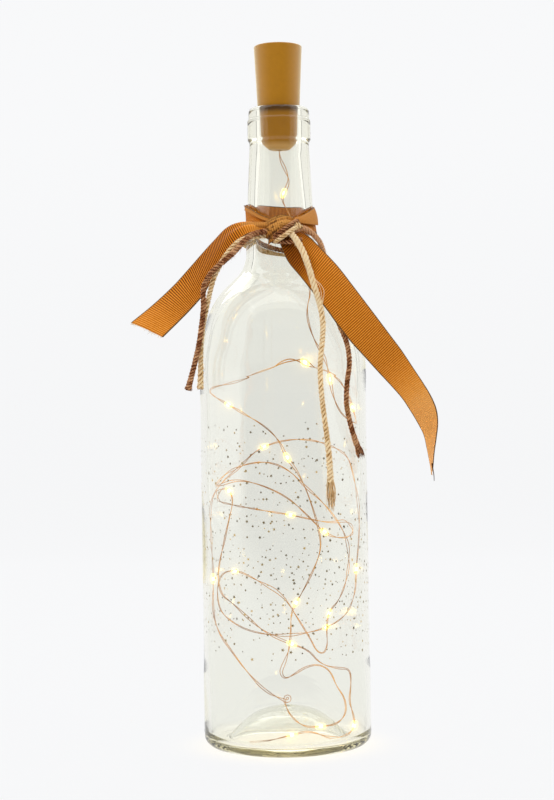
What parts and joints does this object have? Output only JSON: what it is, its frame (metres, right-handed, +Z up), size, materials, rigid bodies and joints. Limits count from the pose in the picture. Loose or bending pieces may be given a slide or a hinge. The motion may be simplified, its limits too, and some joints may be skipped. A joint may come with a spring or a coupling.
{
  "type": "bottle light",
  "caption": "Clear bottle with a cork-shaped stopper that holds cells and a slide switch and feeds a string of small lamps inside; ribbon and twine round the neck.",
  "frame": {"origin": "centre of the bottle's standing ring, on the surface it stands on", "axes": "+Z up along the bottle's axis, -Y towards the side where the ribbon is tied, +X to the right seen from there"},
  "size_m": [0.1376, 0.0762, 0.3184],
  "materials": {
    "clear_glass": "clear and glossy",
    "cork_resin": "smooth, cork coloured",
    "cap_plastic": "fine satin",
    "board_green": "lacquered",
    "switch_steel": "plain",
    "knob_black": "fine grain",
    "nickel": "nickel plated",
    "cell_steel": "polished",
    "tube_white": "moulded",
    "lead_red": "insulation",
    "lead_black": "insulation",
    "solder": "bright",
    "hot_glue": "milky",
    "bush_rubber": "soft",
    "copper": "enamelled copper",
    "lamp_resin": "clear resin, lit warm white",
    "lamp_chip": "phosphor",
    "ribbon_cloth": "ribbed with a satin shine",
    "jute_pale": "twisted, hairy",
    "jute_brown": "twisted, hairy"
  },
  "bodies": {
    "bottle": {"bottle_glass": "clear_glass", "light_wire": "copper", "led_drops": "lamp_resin", "led_chips": "lamp_chip", "ribbon_neck_band": "ribbon_cloth", "ribbon_knot": "ribbon_cloth", "ribbon_tail_left": "ribbon_cloth", "ribbon_tail_right": "ribbon_cloth", "jute_neck_loop": "jute_pale", "brown_neck_loop": "jute_brown", "twine_knot": "jute_brown", "jute_tail_left": "jute_pale", "jute_tail_right": "jute_pale", "brown_tail_left": "jute_brown", "brown_tail_right": "jute_brown"},
    "stopper": {"stopper_sleeve": "cork_resin", "battery_cartridge": "tube_white", "button_cell_lower": "cell_steel", "button_cell_middle": "cell_steel", "button_cell_upper": "cell_steel", "contact_spring": "nickel", "spring_plate": "nickel", "contact_strip": "nickel", "lead_wire_negative": "lead_black", "lead_wire_positive": "lead_red", "wire_stub": "copper", "solder_joints": "solder", "glue_plug": "hot_glue", "wire_exit_bush": "bush_rubber"},
    "cap": {"top_cap": "cap_plastic", "circuit_board": "board_green", "positive_contact": "nickel", "slide_switch_housing": "switch_steel", "switch_terminals": "nickel", "resistor": "knob_black"},
    "switch": {"switch_knob": "knob_black"}
  },
  "joints": [
    {"name": "stopper_lift", "type": "slide", "parent": "bottle", "child": "stopper", "axis": [0, 0, 1], "range_m": [0, 0.03]},
    {"name": "cap_lift", "type": "slide", "parent": "stopper", "child": "cap", "axis": [0, 0, 1], "range_m": [0, 0.012]},
    {"name": "switch_slide", "type": "slide", "parent": "cap", "child": "switch", "axis": [1, 0, 0], "range_m": [0, 0.002]}
  ]
}
